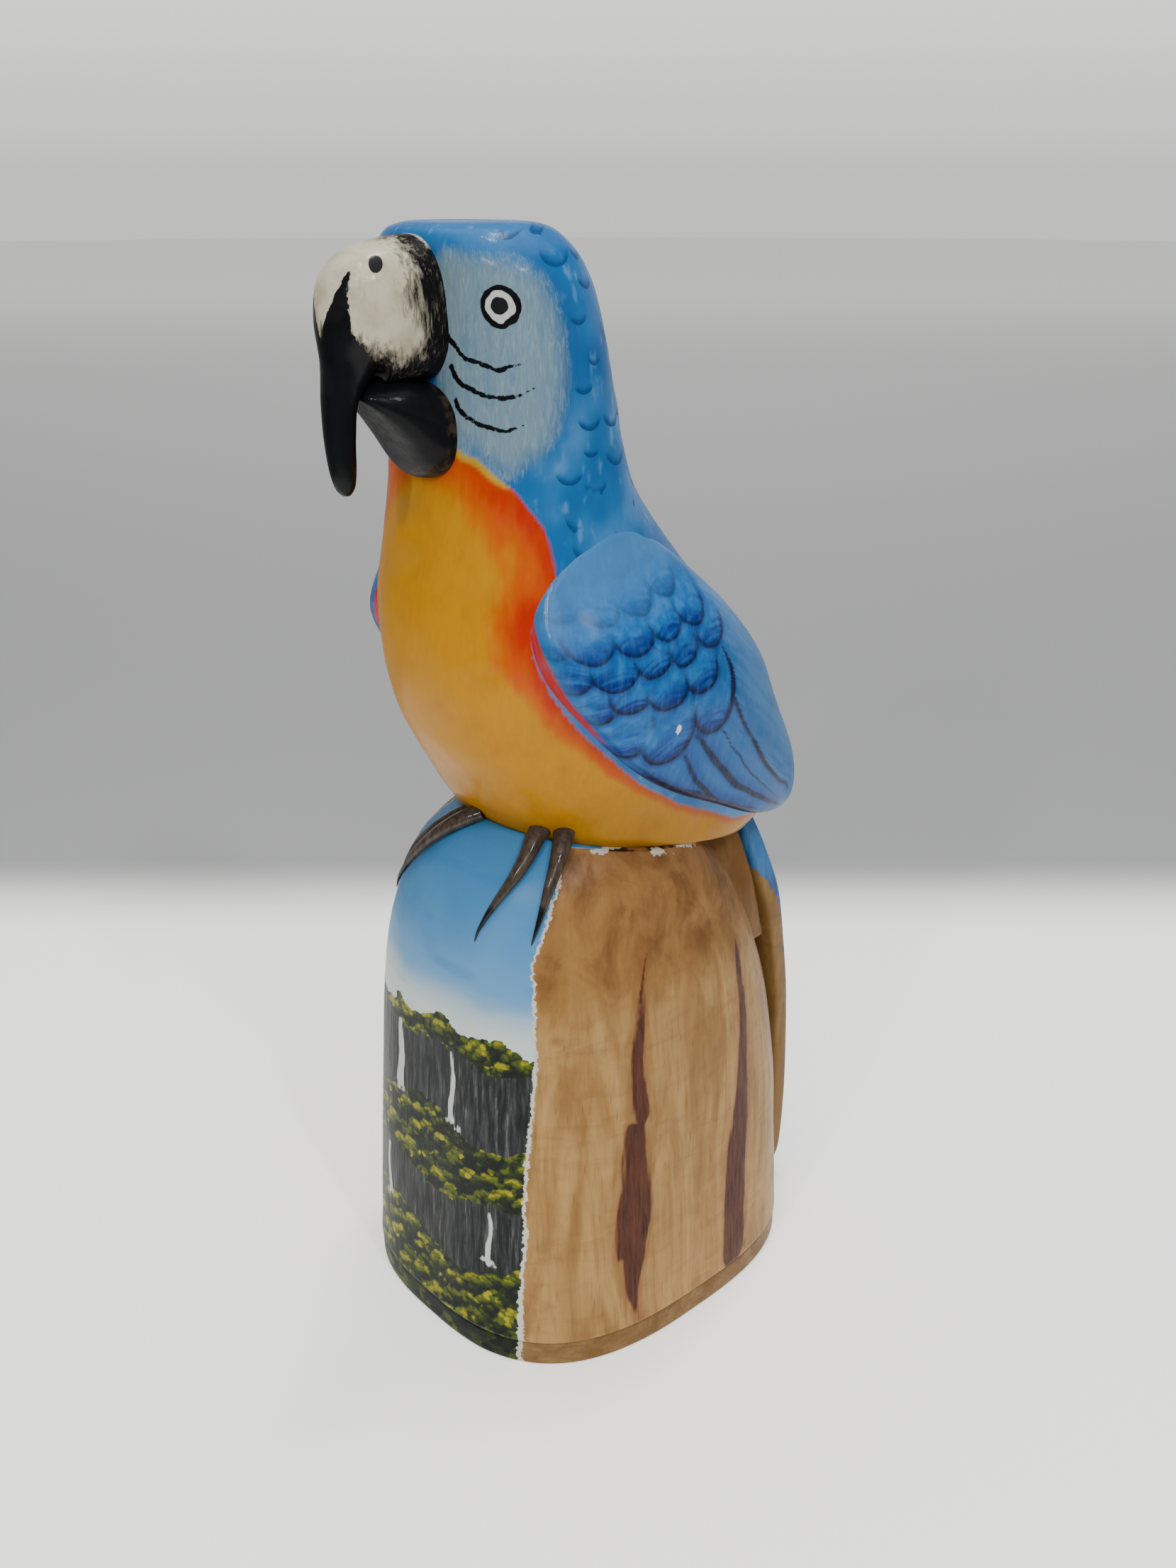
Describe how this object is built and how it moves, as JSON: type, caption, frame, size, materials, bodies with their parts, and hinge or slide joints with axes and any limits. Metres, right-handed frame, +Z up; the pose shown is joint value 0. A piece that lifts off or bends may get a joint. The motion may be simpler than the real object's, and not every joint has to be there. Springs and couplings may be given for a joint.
{
  "type": "carved wooden macaw figurine",
  "caption": "Free-standing folk carving of a blue and yellow macaw on a log stump, hand-painted and lacquered, with a landscape painted on the front of the stump.",
  "frame": {"origin": "centre of the base's underside, on the table", "axes": "+Z up, +Y towards the tail, so the beak points along -Y, and +X is the bird's own left"},
  "size_m": [0.104, 0.1456, 0.3],
  "materials": {
    "board_wood": "lacquered bare wood",
    "screw_steel": "zinc plated",
    "carved_wood": "lacquered bare wood at the sides, painted landscape in front",
    "painted_wood_yellow": "hand-painted yellow breast and blue head, glossy lacquer",
    "painted_wood_cream": "hand-painted cream and black, glossy lacquer",
    "painted_wood_black": "hand-painted black, glossy lacquer",
    "painted_wood_blue": "hand-painted blue feathers, glossy lacquer",
    "painted_wood_brown": "hand-painted dark brown, glossy lacquer",
    "dowel_wood": "plain"
  },
  "bodies": {
    "root": {"base_board": "board_wood", "base_screws": "screw_steel", "stump": "carved_wood", "body": "painted_wood_yellow", "upper_beak": "painted_wood_cream", "lower_beak": "painted_wood_black", "left_wing": "painted_wood_blue", "right_wing": "painted_wood_blue", "tail": "painted_wood_blue", "left_inner_toe": "painted_wood_brown", "left_outer_toe": "painted_wood_brown", "right_inner_toe": "painted_wood_brown", "right_outer_toe": "painted_wood_brown", "body_dowels": "dowel_wood", "beak_dowels": "dowel_wood", "wing_dowels": "dowel_wood", "tail_dowels": "dowel_wood"}
  },
  "joints": []
}
